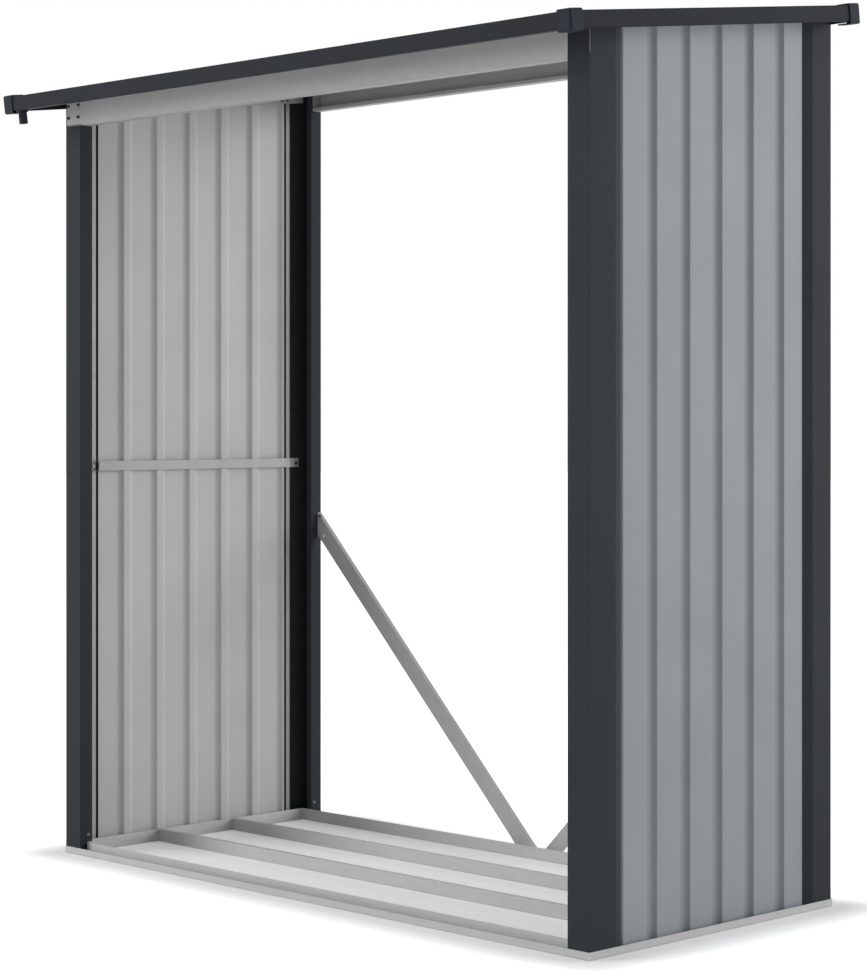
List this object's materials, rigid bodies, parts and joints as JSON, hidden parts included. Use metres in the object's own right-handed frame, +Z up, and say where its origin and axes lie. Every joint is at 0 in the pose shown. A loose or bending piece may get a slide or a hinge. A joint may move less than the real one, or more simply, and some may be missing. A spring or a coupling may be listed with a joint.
{
  "type": "log store",
  "caption": "Open steel log store with ribbed side walls between corner posts, a rail floor frame, diagonal rear braces and a lean-to roof that drains to a front gutter.",
  "frame": {"origin": "middle of the store's footprint, at ground level", "axes": "+X to the right along the front, +Y from the front to the back, +Z up"},
  "size_m": [1.803, 0.9004, 1.8951],
  "materials": {
    "anthracite_paint": "satin powder coat",
    "wall_paint": "satin coil coat",
    "galvanised_steel": "matt zinc",
    "black_plastic": "satin moulded"
  },
  "bodies": {
    "root": {"floor_rail_front": "galvanised_steel", "floor_rail_back": "galvanised_steel", "floor_rail_left": "galvanised_steel", "floor_rail_right": "galvanised_steel", "floor_joist_front": "galvanised_steel", "floor_joist_back": "galvanised_steel", "post_front_left": "anthracite_paint", "post_front_right": "anthracite_paint", "post_back_left": "anthracite_paint", "post_back_right": "anthracite_paint", "wall_sheet_left": "wall_paint", "wall_sheet_right": "wall_paint", "edge_strip_front_left": "galvanised_steel", "edge_strip_front_right": "galvanised_steel", "edge_strip_back_left": "galvanised_steel", "edge_strip_back_right": "galvanised_steel", "wall_mid_rail_left": "galvanised_steel", "wall_mid_rail_right": "galvanised_steel", "wall_top_rail_left": "galvanised_steel", "wall_top_rail_right": "galvanised_steel", "beam_front": "galvanised_steel", "beam_back": "galvanised_steel", "brace_left": "galvanised_steel", "brace_right": "galvanised_steel", "roof_sheet_left": "anthracite_paint", "roof_sheet_middle": "anthracite_paint", "roof_sheet_right": "anthracite_paint", "gutter_front": "anthracite_paint", "fascia_back": "anthracite_paint", "fascia_left": "anthracite_paint", "fascia_right": "anthracite_paint", "corner_cap_front_left": "black_plastic", "corner_cap_front_right": "black_plastic", "corner_cap_back_left": "black_plastic", "corner_cap_back_right": "black_plastic", "drain_spout": "black_plastic"}
  },
  "joints": []
}
